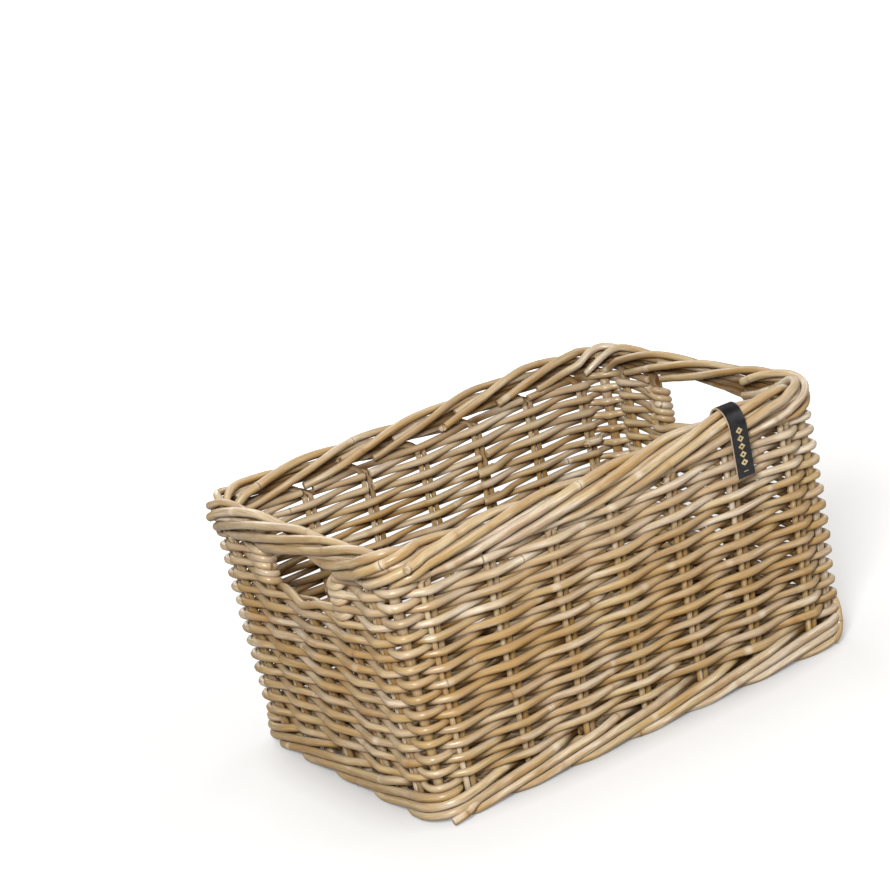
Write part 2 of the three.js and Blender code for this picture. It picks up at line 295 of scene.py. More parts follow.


# rods as one mesh, with what their material needs at each point: its place on the rod, the rod's tones, the
# distance to the next knot, and the painted shade that stands for what covers it
def rodPiece(name, rods, slot, nodes):
    curve = bpy.data.curves.new(name, "CURVE")
    setAll(curve, dimensions="3D", twist_mode="MINIMUM", bevel_depth=1,
           bevel_resolution=rodSkin["bevelSteps"])
    for rod in rods:
        spline = curve.splines.new("POLY")
        points = rod["points"]
        spline.points.add(len(points) - 1)
        for control, (place, radius, *_) in zip(spline.points, points):
            control.co = (*place, 1)
            control.radius = radius
        spline.material_index = rod["finish"]
    holder = added(name, curve)
    graph = bpy.context.evaluated_depsgraph_get()
    mesh = bpy.data.meshes.new_from_object(holder.evaluated_get(graph))
    bpy.data.objects.remove(holder)
    sides = len(mesh.vertices) // sum(len(rod["points"]) for rod in rods)
    places = [vert.co for vert in mesh.vertices]
    grain, tint, knot, paintedShades = [], [], [], []
    for rod in rods:
        for place, radius, gap, run, cover in rod["points"]:
            for side in range(sides):
                facing = (places[len(knot)] - place) / radius if radius else Vector()
                # painted shade: the rod's own share, and more on the side that faces what covers it
                paintedShades.append(max(rod["shade"] + facing.dot(cover), 0))
                angle = 2 * math.pi * side / sides
                grain += [math.cos(angle) * radius, math.sin(angle) * radius, run + rod["start"]]
                tint += rod["tint"]
                knot.append(gap)
    for label, values in (("grain", grain), ("tint", tint)):
        mesh.attributes.new(label, "FLOAT_VECTOR", "POINT").data.foreach_set("vector", values)
    for label, values in (("knot", knot), ("paintedShade", paintedShades)):
        mesh.attributes.new(label, "FLOAT", "POINT").data.foreach_set("value", values)
    shape = bmesh.new()
    shape.from_mesh(mesh)
    bmesh.ops.remove_doubles(shape, verts=shape.verts, dist=rodSkin["merge"])
    bmesh.ops.recalc_face_normals(shape, faces=shape.faces)
    shape.to_mesh(mesh)
    shape.free()
    mesh.shade_smooth()
    mesh.set_sharp_from_angle(angle=rodSkin["crease"])
    mesh.materials.clear()
    for finishName in finishNames:
        mesh.materials.append(rattan[finishName])
    mesh.name = name
    pieceOf(mesh, slot, nodes)


# Materials
mixInputs = (0, 6, 7)   # a mix node's factor and its two colours
mixOutput = 2


def node(tree, kind, **values):
    made = tree.nodes.new("ShaderNode" + kind)
    for key, value in values.items():
        if hasattr(made, key):
            setattr(made, key, value)
        else:
            made.inputs[key].default_value = value
    return made


def ramp(tree, stops, value, interpolation="EASE"):
    made = node(tree, "ValToRGB")
    made.color_ramp.interpolation = interpolation
    stops = list(stops)
    while len(made.color_ramp.elements) < len(stops):
        made.color_ramp.elements.new(0.5)
    for element, (place, color) in zip(made.color_ramp.elements, stops):
        element.position = place
        element.color = (*color, 1)
    tree.links.new(value, made.inputs[0])
    return made.outputs[0]


# a new material, its tree and its one shader
def newSkin(name):
    material = bpy.data.materials.new(name)
    material.use_nodes = True
    return material, material.node_tree, material.node_tree.nodes["Principled BSDF"]


def toolsFor(tree):
    join = tree.links.new

    def plug(value, socket):
        if isinstance(value, bpy.types.NodeSocket):
            join(value, socket)
        else:
            socket.default_value = value

    def mixed(a, b, factor):
        made = node(tree, "Mix", data_type="RGBA")
        for k, value in zip(mixInputs, (factor, a, b)):
            plug(value, made.inputs[k])
        return made.outputs[mixOutput]

    def mapped(value, *spans):
        made = node(tree, "MapRange")
        for socket, number in zip(made.inputs, (value, *spans)):
            plug(number, socket)
        return made.outputs[0]

    def maths(operation, a, b=0.0):
        made = node(tree, "Math", operation=operation)
        for socket, value in zip(made.inputs, (a, b)):
            plug(value, socket)
        return made.outputs[0]

    return join, mixed, mapped, maths


# scales of the patterns, across the rod (twice) and along it
patterns = {
    "fibre": ((1500, 1500, 45), 3, 0.6),
    "patch": ((120, 120, 11), 3, 0.55),
    "stain": ((90, 90, 17), 4, 0.6),
    "hue": ((70, 70, 8), 2, 0.5),
    "peel": ((380, 380, 22), 3, 0.6),
}
# colours over the rod's own, each with the span of the value that brings it in and its shares there
layers = {
    "rosy": ((0.64, 0.52, 0.41, 1), (0.54, 0.66, 0.0, 0.65)),
    "ochre": ((0.45, 0.24, 0.045, 1), (0.49, 0.37, 0.0, 0.75)),
    "stain": ((0.33, 0.165, 0.045, 1), (0.52, 0.68, 0.0, 0.72)),
    "peel": ((0.36, 0.195, 0.05, 1), (0.50, 0.66, 0.0, 0.6)),
    "core": ((0.74, 0.62, 0.45, 1), (0.46, 0.34, 0.0, 0.35)),
    "streak": ((0.16, 0.085, 0.022, 1), (0.36, 0.6, 0.38, 0.0)),
    # painted light: faces that point up are paler
    "paintedTopLight": ((0.68, 0.565, 0.415, 1), (0.3, 0.95, 0.0, 0.32)),
}
# other spans: two values, and what they become
spread = {
    "tone": (0, 1, 0.18, 0.84),
    "patch": (0.28, 0.72, -0.42, 0.42),
    "grey": (0.6, 1.0, 0.0, 0.8),
    "greyPlaces": (0.4, 0.6, 0.3, 1.0),
    "knotShift": (0.3, 0.7, -0.0006, 0.0006),
    "haloTone": (0.4, 0.6, 0.0, 1.0),
    "halo": (0.0011, 0.0055, 0.55, 0.0),
    # painted light on the top rows: where it comes in and where it goes out again
    "topRowLightUp": (0.165, 0.225, 0.0, 0.3),
    "topRowLightDown": (0.232, 0.246, 0.0, 0.22),
    "batchUp": (0.05, 0.10, 0.0, 0.43),
    "batchDown": (0.14, 0.20, 0.0, 0.43),
    "batchPlaces": (0.44, 0.6, 0.0, 1.0),
    # spans of the painted shade: from what covers a rod, on faces that point down, and the gloss it dims
    "shaded": (0.0, 0.75, 0.0, 0.94),
    "below": (-0.95, 0.25, 0.62, 0.0),
    "dull": (0.0, 0.8, 0.5, 0.06),
    "knotLine": (0.00022, 0.0011, 0.8, 0.0),
    "roughness": (0.3, 0.7, 0.41, 0.23),
}
rattanLook = {
    "stops": (0.1, 0.5, 0.9),   # of the tone, for the finish's dark, middle and light colour
    "blotches": (26, 2),        # scale and detail
    "batches": (8, 1),
    "bump": 0.00022,
    "fibreHeight": 0.6,
    "knotHeight": -0.8,
    "grey": (0.44, 0.335, 0.215, 1),
    "knot": (0.10, 0.055, 0.02, 1),
    # colour of the painted shade
    "shade": (0.095, 0.040, 0.008, 1),
    # colour of the painted light on the top rows
    "paintedTopRowLight": (0.64, 0.535, 0.415, 1),
    "batch": (0.40, 0.222, 0.066, 1),
}


def rattanMaterial(name, tones):
    material, tree, skin = newSkin(name)
    join, mixed, mapped, maths = toolsFor(tree)
    grain, tint, knot, paintedShade = (
        node(tree, "Attribute", attribute_name=label)
        for label in ("grain", "tint", "knot", "paintedShade"))

    def parts(vector):
        made = node(tree, "SeparateXYZ")
        join(vector, made.inputs[0])
        return made.outputs

    def pattern(which):
        scale, detail, roughness = patterns[which]
        stretched = node(tree, "VectorMath", operation="MULTIPLY")
        stretched.inputs[1].default_value = scale
        join(grain.outputs["Vector"], stretched.inputs[0])
        made = node(tree, "TexNoise", Scale=1, Detail=detail, Roughness=roughness)
        join(stretched.outputs[0], made.inputs["Vector"])
        return made.outputs["Fac"]

    def cloud(scale, detail):
        made = node(tree, "TexNoise", Scale=scale, Detail=detail)
        join(place, made.inputs["Vector"])
        return made.outputs["Fac"]

    def layered(color, layer, value):
        paint, span = layers[layer]
        return mixed(color, paint, mapped(value, *span))

    def spreadOf(value, what):
        return mapped(value, *spread[what])

    chances = parts(tint.outputs["Vector"])
    place = node(tree, "TexCoord").outputs["Object"]
    height = parts(place)[2]
    facing = parts(node(tree, "NewGeometry").outputs["Normal"])[2]
    fibre, patch, stain, hue, peel = (pattern(which) for which in patterns)

    # the rod's own colour, greyed in places
    tone = maths("ADD", spreadOf(chances[0], "tone"), spreadOf(patch, "patch"))
    shade = ramp(tree, zip(rattanLook["stops"], tones), tone)
    blotch = cloud(*rattanLook["blotches"])
    greyness = maths("MULTIPLY", spreadOf(chances[1], "grey"), spreadOf(blotch, "greyPlaces"))
    color = mixed(shade, rattanLook["grey"], greyness)
    over = {"rosy": hue, "ochre": hue, "stain": stain, "peel": peel, "core": peel, "streak": fibre}
    for layer, value in over.items():
        color = layered(color, layer, value)

    # round each knot a halo, pale or brown
    away = maths("ADD", knot.outputs["Fac"], spreadOf(stain, "knotShift"))
    halo = mixed((*tones[-1], 1), layers["stain"][0], spreadOf(chances[2], "haloTone"))
    color = mixed(color, halo, spreadOf(away, "halo"))
    # painted light: paler on faces that point up
    color = layered(color, "paintedTopLight", facing)

    # painted light: paler in the top rows; browner in places in the middle ones
    topRowLight = maths("SUBTRACT", spreadOf(height, "topRowLightUp"), spreadOf(height, "topRowLightDown"))
    color = mixed(color, rattanLook["paintedTopRowLight"], topRowLight)
    band = maths("SUBTRACT", spreadOf(height, "batchUp"), spreadOf(height, "batchDown"))
    places = spreadOf(cloud(*rattanLook["batches"]), "batchPlaces")
    color = mixed(color, rattanLook["batch"], maths("MULTIPLY", band, places))

    # painted shade: dark where rods cover each other and on faces that point down, with less gloss there
    paintedShadeMask = maths("MAXIMUM", spreadOf(paintedShade.outputs["Fac"], "shaded"), spreadOf(facing, "below"))
    color = mixed(color, rattanLook["shade"], paintedShadeMask)
    join(spreadOf(paintedShadeMask, "dull"), skin.inputs["Specular IOR Level"])
    line = spreadOf(away, "knotLine")
    color = mixed(color, rattanLook["knot"], line)
    join(color, skin.inputs["Base Color"])
    join(spreadOf(patch, "roughness"), skin.inputs["Roughness"])
    raised = maths("MULTIPLY", fibre, rattanLook["fibreHeight"])
    relief = maths("ADD", raised, maths("MULTIPLY", line, rattanLook["knotHeight"]))
    bump = node(tree, "Bump", Strength=0.5, Distance=rattanLook["bump"])
    join(relief, bump.inputs["Height"])
    join(bump.outputs["Normal"], skin.inputs["Normal"])
    return material


# each finish from dark over middle to light
rattanTones = {
    "rattan_pale": ((0.40, 0.26, 0.11), (0.585, 0.435, 0.200), (0.84, 0.75, 0.60)),
    "rattan_straw": ((0.27, 0.135, 0.025), (0.43, 0.262, 0.052), (0.67, 0.51, 0.25)),
    "rattan_tan": ((0.21, 0.080, 0.012), (0.365, 0.172, 0.030), (0.56, 0.35, 0.12)),
    "rattan_grey": ((0.29, 0.195, 0.110), (0.47, 0.355, 0.215), (0.80, 0.73, 0.665)),
    "rattan_brown": ((0.13, 0.047, 0.008), (0.26, 0.108, 0.020), (0.42, 0.23, 0.065)),
}
rattan = {name: rattanMaterial(name.split("_")[1] + "Rattan", tones) for name, tones in rattanTones.items()}
print("materials made:", len(rattan))

# Corner posts and stakes: every stake but a post is a pair of rods side by side
stakes = {
    "pair": 0.0029, "apart": 0.0034,
    "posts": (0, 3, 3),   # finishes of the posts, the left rods and the right rods
    "pale": (3, 3, 0), "dark": (4, 4, 2, 4), "post": 0.0049, "postShade": 0.15, "foot": 0.0020,
    "top": 0.2262, "belowSill": 0.001, "leanFrom": 0.222, "leanWidth": 0.012, "lean": 0.003,
    "bend": 0.0075, "bendSteps": (18, 36, 54, 72, 90), "floorSteps": 60, "step": 0.005, "wander": 0.4,
    # painted shade on posts, and more on each pair's right rod, also darker in tone as if the left rod shaded
    # it
    "shades": {-1: 0.1, 1: 0.32}, "tones": {-1: 0.6, 1: 0.25},
}
lineStep = 0.0018


# a smooth line through a few places
def smoothLine(places):
    line = []
    extended = [places[0] * 2 - places[1]] + places + [places[-1] * 2 - places[-2]]
    for before, here, after, beyond in zip(extended, extended[1:], extended[2:], extended[3:]):
        count = max(2, math.ceil((after - here).length / lineStep))
        for k in range(count):
            t = k / count
            square = 2 * before - 5 * here + 4 * after - beyond
            cube = 3 * here - before - 3 * after + beyond
            line.append(0.5 * (2 * here + (after - before) * t + square * t ** 2 + cube * t ** 3))
    line.append(places[-1])
    return line


stakeFinishes = []
toneRng = random.Random(seeds["tones"])
for station in stations:
    if station["post"]:
        stakeFinishes.append((toneRng.choice(stakes["posts"]),))
    else:
        stakeFinishes.append((toneRng.choice(stakes["pale"]), toneRng.choice(stakes["dark"])))


def uprightLine(s, low, high, aside=0.0):
    count = max(2, math.ceil((high - low) / stakes["step"]))
    line = []
    for k in range(count + 1):
        z = lerp(low, high, k / count)
        lean = stakes["lean"] * easeFrom(z, stakes["leanFrom"], stakes["leanWidth"])
        point, _out, heading = spot(s, z, lean)
        line.append(point + heading * aside)
    return line


# the two rods of a stake, one on each side of its line
def pairOf(lineAt, index, rng):
    return [
        makeRod(lineAt(side * stakes["apart"]), stakes["pair"], rng, finish=finish, wander=stakes["wander"],
                shade=stakes["shades"][side], tone=stakes["tones"][side])
        for side, finish in zip((-1, 1), stakeFinishes[index])
    ]


cornerNames = ["front_left", "front_right", "back_right", "back_left"]
for index, station in enumerate(stations):
    rng = random.Random(seeds["stakes"] + index)
    quarter = station["quarter"]
    if station["post"]:
        line = uprightLine(index, stakes["foot"], stakes["top"])
        rods = [makeRod(line, stakes["post"], rng, finish=stakeFinishes[index][0], shade=stakes["postShade"])]
        nodeName = "corner_post_" + cornerNames[quarter]
    elif quarter % 2:
        order = shortPlaces.index(station["place"])
        side, number = ("right", order + 1) if quarter == 1 else ("left", len(shortPlaces) - order)
        nodeName = "end_stake_%s_%d" % (side, number)
        sill = levels["weaveBottom"] + levels["fullCourses"] * levels["pitch"]
        high = sill - stakes["belowSill"] if station["place"] == 0 else stakes["top"]
        rods = pairOf(lambda aside: uprightLine(index, stakes["foot"], high, aside), index, rng)
    else:
        continue
    rodPiece("stake_" + nodeName, rods, "rattan_tan" if station["post"] else "rattan_brown", [nodeName])


def crossLine(k, aside):
    # down the front, round under the base and up the back
    front, back = 1 + k, rounds // 2 + wall["longStakes"] - k
    low = levels["base"] + stakes["bend"]
    down = [Vector((p.x + aside, p.y, p.z)) for p in reversed(uprightLine(front, low, stakes["top"]))]
    up = [Vector((p.x + aside, p.y, p.z)) for p in uprightLine(back, low, stakes["top"])]

    def arc(corner, sign):
        line = []
        for degrees in stakes["bendSteps"]:
            a = math.radians(degrees)
            y = corner.y + sign * stakes["bend"] * (1 - math.cos(a))
            line.append(Vector((corner.x, y, low - stakes["bend"] * math.sin(a))))
        return line
    turnDown = arc(down[-1], 1)
    turnUp = arc(up[0], -1)[::-1]
    count = stakes["floorSteps"]
    floor = [turnDown[-1].lerp(turnUp[0], j / count) for j in range(1, count)]
    return down + turnDown + floor + turnUp + up


for k in range(wall["longStakes"]):
    rng = random.Random(seeds["crossing"] + k)
    rods = pairOf(lambda aside: crossLine(k, aside), 1 + k, rng)
    rodPiece("cross_stake_pair_%d" % (k + 1), rods, "rattan_brown", ["cross_stake_%d" % (k + 1)])
print("stakes made")


# Weavers: over one stake and under the next, thickest on the stakes and slimmer where they cross each other
def goesOutside(index, course):
    return (index + course) % 2 == 0


def weaveOffset(s, course):
    index = math.floor(s)

    def reach(station):
        side = 1 if goesOutside(station, course) else -1
        return side * (stakeHalf(station) + weaver["radius"])
    return lerp(reach(index), reach(index + 1), taut(s - index))


def courseLevel(course):
    return levels["weaveBottom"] + (course + 0.5) * levels["pitch"]


# one more point of a woven line, and the side of it that faces the wall's middle, which is painted in shade
def addWoven(line, cover, s, level, offset):
    point, out, _heading = spot(s, level, offset)
    point.z += swell(point)
    line.append(point)
    cover.append(out * (-offset * weaver["cover"]))


# places along the wall from one stake count to another, close together
def stretchOf(first, last):
    places = []
    s = first
    while s < last - rodSkin["atEnd"]:
        places.append(s)
        index = math.floor(s + rodSkin["onStake"])
        s = min(s + rodSkin["step"] / spans[index % rounds], last)
    places.append(last)
    return places


# slimmer half way between two stakes
def slimming(s):
    return lerp(1, weaver["slim"], ease(abs(s - round(s)) * 2 * weaver["slimRate"]))


# one rod of a course: its start and its end are tucked behind a stake, the end further in
def wovenRod(course, first, last, rng):
    begin = first - weaver["tuckBack"] / spans[math.floor(first - 0.5) % rounds]
    end = last + weaver["tuckPast"] / spans[math.floor(last + 0.5) % rounds]
    line, squeeze, cover = [], [], []
    for s in stretchOf(begin, end):
        offset = weaveOffset(s, course)
        offset -= weaver["rideIn"] * easeFrom(s - last, weaver["rideFrom"], weaver["rideWidth"])
        addWoven(line, cover, s, courseLevel(course), offset)
        squeeze.append(slimming(s))
    low, high = weaver["paleRows"]
    mix = "weaver" if low <= course < levels["fullCourses"] - high else "edge"
    radius = weaver["radius"] * rng.uniform(*weaver["range"])
    return makeRod(line, radius, rng, mix, squeeze, cover=cover, shade=weaver["shade"])


# beside the last full course a second rod runs under each handle gap and rounds the sill
sillLook = {"middles": (11, 25), "reach": 1.22, "low": 0.0012, "high": 0.0058, "rate": 1.3, "size": 0.95}


def sillRod(middle, rng):
    line, cover = [], []
    course = levels["fullCourses"]
    for s in stretchOf(middle - sillLook["reach"], middle + sillLook["reach"]):
        between = ease(abs(s - round(s)) * 2 * sillLook["rate"])
        level = courseLevel(course - 1) + lerp(sillLook["low"], sillLook["high"], between)
        addWoven(line, cover, s, level, weaveOffset(s, course))
    return makeRod(line, weaver["radius"] * sillLook["size"], rng, "rim", cover=cover)


for course in range(levels["fullCourses"]):
    rng = random.Random(seeds["courses"] + course)
    inside = [k for k in range(rounds) if not goesOutside(k, course) and not stations[k]["post"]]
    cut = rng.choice(inside)
    cuts = [cut]
    while cut < cuts[0] + rounds:
        cut += rng.choice(weaver["cutSteps"])
        if cuts[0] + rounds - cut < weaver["shortest"]:
            cut = cuts[0] + rounds
        elif stations[cut % rounds]["post"]:
            cut += 2
        cuts.append(cut)
    rods = [wovenRod(course, a, b, rng) for a, b in zip(cuts, cuts[1:])]
    if course == levels["fullCourses"] - 1:
        rods += [sillRod(middle, rng) for middle in sillLook["middles"]]
    name = "weaver_course_%02d" % (course + 1)
    rodPiece("rods_of_" + name, rods, slotOrder[course % len(slotOrder)], [name])
print("full courses woven")

# Handle weavers: to and fro between the handle gaps, with a turn or an extra wrap round each edge stake
handle = {
    "stations": 12, "ringRadius": 0.0039, "turnSteps": 12, "turnSize": 0.97, "ringSteps": 40,
    "rings": ((1.5, 2), (0.5, 3)),   # at the last and the first edge: row of the lowest, and their number
    "ringClimb": 0.47, "ringWander": 0.3, "cutPlaces": (4, 5, 6, 7, 8), "cutRows": (1, 3, 5),
    "cutStep": 0.068,      # rough distance between two stakes
    "apart": 40,           # fewest points between two cuts
    "range": (0.94, 1.03), "finishes": (0, 3), "packed": (0.2, 4.1, 8.1), "packedLength": 3.8,
    "packedDepth": 0.55, "packedDown": 0.0008, "packedRange": (0.8, 0.9), "packedShade": 0.3,
}


# from an edge stake's middle to the middle of a rod that lies against it
edgeReach = stakeSize["radius"] + weaver["radius"]


# the end of one row, turned round the edge stake into the next
def edgeTurn(index, way, course, lowLevel, highLevel):
    point, out, heading = spot(index, (lowLevel + highLevel) / 2)
    side = 1 if goesOutside(index, course) else -1
    line = []
    for k in range(1, handle["turnSteps"]):
        share = k / handle["turnSteps"]
        angle = math.pi * share
        place = point + heading * way * (stakeSize["radius"] + edgeReach * math.sin(angle))
        place += out * (side * edgeReach * math.cos(angle))
        place.z = lerp(lowLevel, highLevel, ease(share))
        line.append(place)
    return line


# a short rod wrapped once round an edge stake
def edgeRing(index, level, side, rng):
    point, out, heading = spot(index, level)
    line = []
    for k in range(handle["ringSteps"]):
        angle = 2 * math.pi * (k + 0.5) / handle["ringSteps"] - math.pi / 2
        along = math.cos(angle) * edgeReach + math.copysign(stakeSize["radius"], math.cos(angle))
        across = math.sin(angle) * edgeReach
        place = point + heading * along + out * across
        place.z = level - side * math.sin(angle) * levels["pitch"] * handle["ringClimb"]
        line.append(place)
    return makeRod(line, handle["ringRadius"], rng, wander=handle["ringWander"])


# above the last row, and half inside the rim, short rods pack the wall up to the rim
def packedRod(first, rng):
    line, cover = [], []
    level = courseLevel(levels["courses"]) - handle["packedDown"]
    for s in stretchOf(first, first + handle["packedLength"]):
        addWoven(line, cover, s, level, weaveOffset(s, levels["courses"]) * handle["packedDepth"])
    radius = weaver["radius"] * rng.uniform(*handle["packedRange"])
    return makeRod(line, radius, rng, cover=cover, shade=handle["packedShade"])


def handleRods(firstStation, rng):
    lastStation = firstStation + handle["stations"]
    line, squeeze, cutPlaces, cover = [], [], [], []
    for row in range(levels["handleCourses"]):
        course = levels["fullCourses"] + row
        forward = row % 2 == 0
        places = stretchOf(firstStation, lastStation)
        if not forward:
            places = places[::-1]
        cutAt = firstStation + rng.choice(handle["cutPlaces"])
        if goesOutside(cutAt, course):
            cutAt += 1
        for s in places:
            here = abs(s - cutAt) * handle["cutStep"] < rodSkin["step"] / 2
            fresh = not cutPlaces or len(line) - cutPlaces[-1] > handle["apart"]
            if here and fresh and row in handle["cutRows"]:
                cutPlaces.append(len(line))
            addWoven(line, cover, s, courseLevel(course), weaveOffset(s, course))
            squeeze.append(slimming(s))
        if row < levels["handleCourses"] - 1:
            index = lastStation if forward else firstStation
            turn = edgeTurn(index, 1 if forward else -1, course, courseLevel(course), courseLevel(course + 1))
            line += turn
            squeeze += [handle["turnSize"]] * len(turn)
            cover += [Vector()] * len(turn)
    ends = [0] + cutPlaces + [len(line) - 1]
    rods = []
    for a, b in zip(ends, ends[1:]):
        radius = weaver["radius"] * rng.uniform(*handle["range"])
        finish = handle["finishes"][len(rods) % 2]
        rods.append(makeRod(line[a + 1:b], radius, rng, None, squeeze[a + 1:b], finish, cover=cover[a + 1:b]))
    rods += [packedRod(firstStation + start, rng) for start in handle["packed"]]
    low = levels["fullCourses"]
    for index, (first, count) in zip((lastStation, firstStation), handle["rings"]):
        side = 1 if goesOutside(index, low + (0 if index == lastStation else 1)) else -1
        rods += [edgeRing(index, courseLevel(low + first + 2 * place), side, rng) for place in range(count)]
    return rods


for k, (side, first, slot) in enumerate(
        (("front", rounds - 2, "rattan_pale"), ("back", rounds // 2 - 2, "rattan_straw"))):
    rods = handleRods(first, random.Random(seeds["handles"] + k))
    rodPiece("rods_beside_the_handles_" + side, rods, slot, ["handle_weaver_" + side])
print("handle weavers made")

# Plaited rim: a rod from every stake climbs the outside, passes over the top and ends low on the inside
rim = {
    "middle": 0.2466, "outset": 0.003, "halfWidth": 0.0085, "halfHeight": 0.0150, "radius": 0.0047,
    "end": 4.9, "steps": (0.0, 0.5, 2.7, 3.3, 4.9), "travel": (0.03, 0.10, 0.455, 0.555, 0.89),
    "handles": (rounds // 2 - 3, rounds - 3),   # the stations in the middle of the handle gaps
    "soft": 0.3, "overGap": 0.9, "handleWidth": 1.6, "handleLift": 0.03, "handleDip": 0.0012,
    "keptClear": (-0.9, 0.8, -1.05), "cover": 70, "thin": 0.0034, "thinEnd": 4.0, "thinDepth": 0.5,
    "groove": 0.08,      # share of the way round the rim between a thick rod and its thin one
    "grooveWidth": 0.6, "bendFrom": -0.02,
    "bendShare": 0.42,   # of the way to the next stake, where a stake's end has bent into the rim
    "gapBend": 1.3, "pairSize": 0.63, "waves": 0.0012, "waveRate": 8, "outwards": 0.3, "climb": 0.025,
    "gapDown": 0.002,
}
# what differs by chance from rod to rod (turn round the rim, length, size, finish), and its wander and shade
thickChance = {"jitter": 0.018, "end": (-0.35, 0.25), "size": (0.82, 1.02), "wander": 1.5, "shade": 0.0,
               "finishes": (0, 1, 3, 2, 3, 1)}
thinChance = {"jitter": 0.02, "end": (-0.5, 0.5), "size": (0.92, 1.12), "wander": 1.2, "shade": 0.3,
              "finishes": (1, 2)}


def ovalTable(count=240):
    spots = []
    for k in range(count + 1):
        a = 2 * math.pi * k / count - math.pi / 2
        spots.append((math.cos(a) * rim["halfWidth"], math.sin(a) * rim["halfHeight"]))
    lengths = [0.0]
    for (x0, y0), (x1, y1) in zip(spots, spots[1:]):
        lengths.append(lengths[-1] + math.hypot(x1 - x0, y1 - y0))
    return spots, [length / lengths[-1] for length in lengths]


ovalSpots, ovalShares = ovalTable()


def ovalAt(share):
    k, local = placeIn(ovalShares, share % 1)
    (x0, y0), (x1, y1) = ovalSpots[k:k + 2]
    return lerp(x0, x1, local), lerp(y0, y1, local)


# the share of the way round the rim that a rod has gone t stakes after its own
def rimTravel(t):
    k, local = placeIn(rim["steps"], t)
    return lerp(*rim["travel"][k:k + 2], min(local, 1))


# how far s lies over a handle gap, where the rim is slimmer
def handleRise(s):
    aways = [abs((s - middle + rounds / 2) % rounds - rounds / 2) for middle in rim["handles"]]
    return 1 - ease(min(aways) / rim["handleWidth"])


# where one rod of a stake would run on if it didn't bend into the rim
def stakeEnd(start, s, side):
    if handleRise(start) > rim["overGap"]:
        point = spot(s, wall["height"], rim["outset"])[0]
        point.z = rim["middle"] - rim["gapDown"]
        return point
    point, _out, heading = spot(lerp(start, s, rim["outwards"]), wall["height"])
    if not stations[start % rounds]["post"]:
        point += heading * side * stakes["apart"]
    point.z = stakes["top"] + rim["climb"] * (s - start)
    return point


# a stake's end: up out of the wall, bent over into the rim, and along it; the thin rod of a pair lies deeper,
# under the groove beside the thick one
def rimLine(start, thin, jitter, end):
    line, squeeze, cover = [], [], []
    depth = rim["thinDepth"] if thin else 1
    groove = rim["groove"] if thin else 0
    bend = rim["gapBend"] if handleRise(start) > rim["overGap"] else rim["bendShare"]
    for s in stretchOf(start + rim["bendFrom"], start + end):
        t = s - start
        travel = softened(rimTravel, t, rim["soft"])
        travel += jitter * ease(t) - groove * ease(t / rim["grooveWidth"])
        across, up = (size * depth for size in ovalAt(travel))
        rise = handleRise(s)
        point, out, _heading = spot(s, wall["height"], rim["outset"] + across)
        # painted shade on the side that faces the middle of the rim
        cover.append((out * -across + Vector((0, 0, -up))) * rim["cover"])
        point.z = rim["middle"] - rim["handleDip"] * rise + up * (1 - rim["handleLift"] * rise)
        place = Vector((point.x * rim["waveRate"], point.y * rim["waveRate"], 2))
        point.z += rim["waves"] * noise.noise(place)
        bent = easeFrom(t, rim["bendFrom"], bend)
        line.append(stakeEnd(start, s, 1 if thin else -1).lerp(point, bent))
        squeeze.append(1 if thin or stations[start % rounds]["post"] else lerp(rim["pairSize"], 1, bent))
    return line, squeeze, cover


# no rod ends over a handle gap
def clearOfGap(start, end):
    before, after, instead = rim["keptClear"]
    for middle in rim["handles"]:
        if middle + before < start + end < middle + after:
            return middle + instead - start
    return end


def rimRod(k, thin, rng):
    chance = thinChance if thin else thickChance
    jitter = rng.uniform(-chance["jitter"], chance["jitter"])
    end = clearOfGap(k, rim["thinEnd" if thin else "end"] + rng.uniform(*chance["end"]))
    line, squeeze, cover = rimLine(k, thin, jitter, end)
    finish = rng.choice((stakeFinishes[k][-1 if thin else 0], *chance["finishes"]))
    radius = rim["thin" if thin else "radius"] * rng.uniform(*chance["size"])
    return makeRod(line, radius, rng, None, squeeze, finish, chance["wander"], cover, chance["shade"])


# a round rod end that shows on the rim over the front left corner, its places given by stake count, height
# above the wall and outset
plug = {
    "places": [(1.05, 0.0215, -0.002), (0.75, 0.0205, 0.005), (0.52, 0.0190, 0.0115), (0.44, 0.0180, 0.0175)],
    "radius": 0.0043, "wander": 0.3,
}
plugLine = smoothLine([
    spot(s, wall["height"], outset)[0] + Vector((0, 0, above)) for s, above, outset in plug["places"]])
rimParts = 4
for part in range(rimParts):
    rng = random.Random(seeds["rim"] + part)
    rods = []
    if part == 0:
        rods.append(makeRod(plugLine, plug["radius"], rng, finish=0, wander=plug["wander"]))
    for k in range(part, rounds, rimParts):
        rods += [rimRod(k, thin, rng) for thin in (False, True)]
    rodPiece("rim_plait_%d" % (part + 1), rods, slotOrder[part], ["rim_rod_%d" % (part + 1)])
print("rim plaited")

# Foot wale: four strands that the basket stands on. Each rises outside three stakes, goes inside the fourth
# and comes out again below the others.
foot = {
    "cycle": 4, "radius": 0.0043, "low": 0.0043, "high": 0.0267, "rise": 0.0094, "soft": 0.14,
    "fall": 0.55, "slim": 0.9, "slimAt": 0.7, "slimWidth": 0.4, "tuck": 0.0075, "tuckFrom": -0.6,
    "tuckWidth": 0.7, "before": 0.12, "after": 0.2, "range": (0.96, 1.01), "wander": 0.5,
    "hook": 0.0037, "hookWander": 0.4,
}

# stakes counted round the foot, with a post half way between the last one and the next
paces = []
stakesBefore = 0
for station in stations:
    paces.append(stakesBefore - 0.5 if station["post"] else stakesBefore)
    stakesBefore += 0 if station["post"] else 1
paces.append(stakesBefore - 0.5)


def paceAt(s):
    turns, local = divmod(s, rounds)
    index = min(math.floor(local), rounds - 1)
    return turns * stakesBefore + lerp(paces[index], paces[index + 1], local - index)


def footHeight(passed):
    passed %= foot["cycle"]
    if passed < foot["fall"]:
        return lerp(foot["high"], foot["low"], ease(passed / foot["fall"]))
    return min(foot["low"] + max(passed - 1, 0) * foot["rise"], foot["high"])


